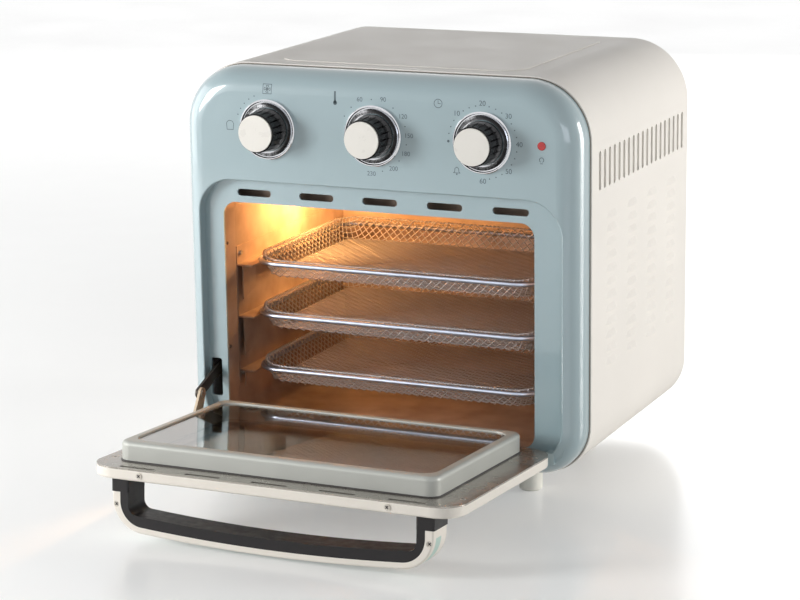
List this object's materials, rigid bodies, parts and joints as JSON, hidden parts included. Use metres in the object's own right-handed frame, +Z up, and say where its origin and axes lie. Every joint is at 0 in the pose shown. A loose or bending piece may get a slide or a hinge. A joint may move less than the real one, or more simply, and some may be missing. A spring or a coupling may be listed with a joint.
{
  "type": "air fryer oven",
  "caption": "Countertop air fryer oven with a rounded case, drop-down glass door with bowed handle, wire baskets on side racks and dial controls.",
  "frame": {"origin": "worktop level under the centre of the body's footprint, midway between the four feet", "axes": "+X to the right as the user sees the front, +Y from the door to the back, +Z up; stored with the door lowered"},
  "size_m": [0.3344, 0.445, 0.3225],
  "materials": {
    "panel_paint": "satin grey-blue",
    "case_paint": "satin warm white",
    "base_sheet": "galvanised",
    "foot_plastic": "cream",
    "cavity_steel": "aluminised sheet",
    "basket_wire": "bright wire",
    "bezel_chrome": "polished",
    "knob_black": "black",
    "knob_cream": "cream",
    "door_glass": "tinted",
    "door_cream": "cream",
    "door_satin": "satin",
    "handle_black": "black",
    "inlay_teal": "pale teal",
    "lens_red": "red lens",
    "bracket_zinc": "passivated",
    "lever_dark": "dark",
    "component_metal": "plain",
    "fan_aluminium": "plain",
    "heater_tube": "oxidised",
    "hardware_steel": "plated"
  },
  "bodies": {
    "oven": {"base_plate": "base_sheet", "cable_gland": "handle_black", "case_screws": "hardware_steel", "cavity_throat": "cavity_steel", "fan_guard": "hardware_steel", "fan_housing": "cavity_steel", "fan_motor": "component_metal", "foot_front_left": "foot_plastic", "foot_front_right": "foot_plastic", "foot_rear_left": "foot_plastic", "foot_rear_right": "foot_plastic", "front_fascia": "panel_paint", "function_bezel": "bezel_chrome", "function_control": "component_metal", "heating_element": "heater_tube", "hinge_pins": "hardware_steel", "indicator_lens": "lens_red", "outer_wrap": "case_paint", "oven_cavity": "cavity_steel", "rack_rivets": "hardware_steel", "rack_support_left": "cavity_steel", "rack_support_right": "cavity_steel", "rear_panel": "case_paint", "spring_anchor": "hardware_steel", "stay_spring": "hardware_steel", "temperature_bezel": "bezel_chrome", "temperature_control": "component_metal", "timer_bezel": "bezel_chrome", "timer_control": "component_metal"},
    "door": {"door_pan": "door_cream", "door_inner_plate": "door_satin", "door_inner_frame": "door_satin", "inner_glass": "door_glass", "outer_glass": "door_glass", "door_screws": "hardware_steel", "handle_core": "handle_black", "handle_shell": "door_cream", "handle_inlay": "inlay_teal", "handle_block_left": "handle_black", "handle_block_right": "handle_black", "stay_bracket": "bracket_zinc", "stay_rivet": "hardware_steel"},
    "stay_lever": {"stay_lever": "lever_dark"},
    "fan": {"convection_fan": "fan_aluminium"},
    "function_knob": {"function_knob_body": "knob_black", "function_knob_cap": "knob_cream", "function_knob_shaft": "hardware_steel"},
    "temperature_knob": {"temperature_knob_body": "knob_black", "temperature_knob_cap": "knob_cream", "temperature_knob_shaft": "hardware_steel"},
    "timer_knob": {"timer_knob_body": "knob_black", "timer_knob_cap": "knob_cream", "timer_knob_shaft": "hardware_steel"},
    "basket_1": {"basket_rim_1": "basket_wire", "basket_mesh_1": "basket_wire"},
    "basket_2": {"basket_rim_2": "basket_wire", "basket_mesh_2": "basket_wire"},
    "basket_3": {"basket_rim_3": "basket_wire", "basket_mesh_3": "basket_wire"}
  },
  "joints": [
    {"name": "door_hinge", "type": "hinge", "parent": "oven", "child": "door", "pos_m": [0, -0.122, 0.03904], "axis": [1, 0, 0], "range_deg": [-86.33, 0]},
    {"name": "stay_pivot", "type": "hinge", "parent": "door", "child": "stay_lever", "pos_m": [0, -0.14678, 0.06668], "axis": [1, 0, 0], "range_deg": [0, 86.33]},
    {"name": "function_turn", "type": "hinge", "parent": "oven", "child": "function_knob", "pos_m": [-0.0884, -0.125, 0.2747], "axis": [0, 1, 0], "range_deg": [0, 240]},
    {"name": "temperature_turn", "type": "hinge", "parent": "oven", "child": "temperature_knob", "pos_m": [0, -0.125, 0.2747], "axis": [0, 1, 0], "range_deg": [0, 207]},
    {"name": "timer_turn", "type": "hinge", "parent": "oven", "child": "timer_knob", "pos_m": [0.0884, -0.125, 0.2747], "axis": [0, 1, 0], "range_deg": [0, 225]},
    {"name": "basket_1_slide", "type": "slide", "parent": "oven", "child": "basket_1", "axis": [0, -1, 0], "range_m": [0, 0.08]},
    {"name": "basket_2_slide", "type": "slide", "parent": "oven", "child": "basket_2", "axis": [0, -1, 0], "range_m": [0, 0.08]},
    {"name": "basket_3_slide", "type": "slide", "parent": "oven", "child": "basket_3", "axis": [0, -1, 0], "range_m": [0, 0.08]},
    {"name": "fan_spin", "type": "hinge", "parent": "oven", "child": "fan", "pos_m": [-0.0042, 0.0065, 0.25], "axis": [0, 0, 1], "continuous": true}
  ],
  "couplings": [
    {"joint": "stay_pivot", "follows": "door_hinge", "ratio": -1}
  ]
}
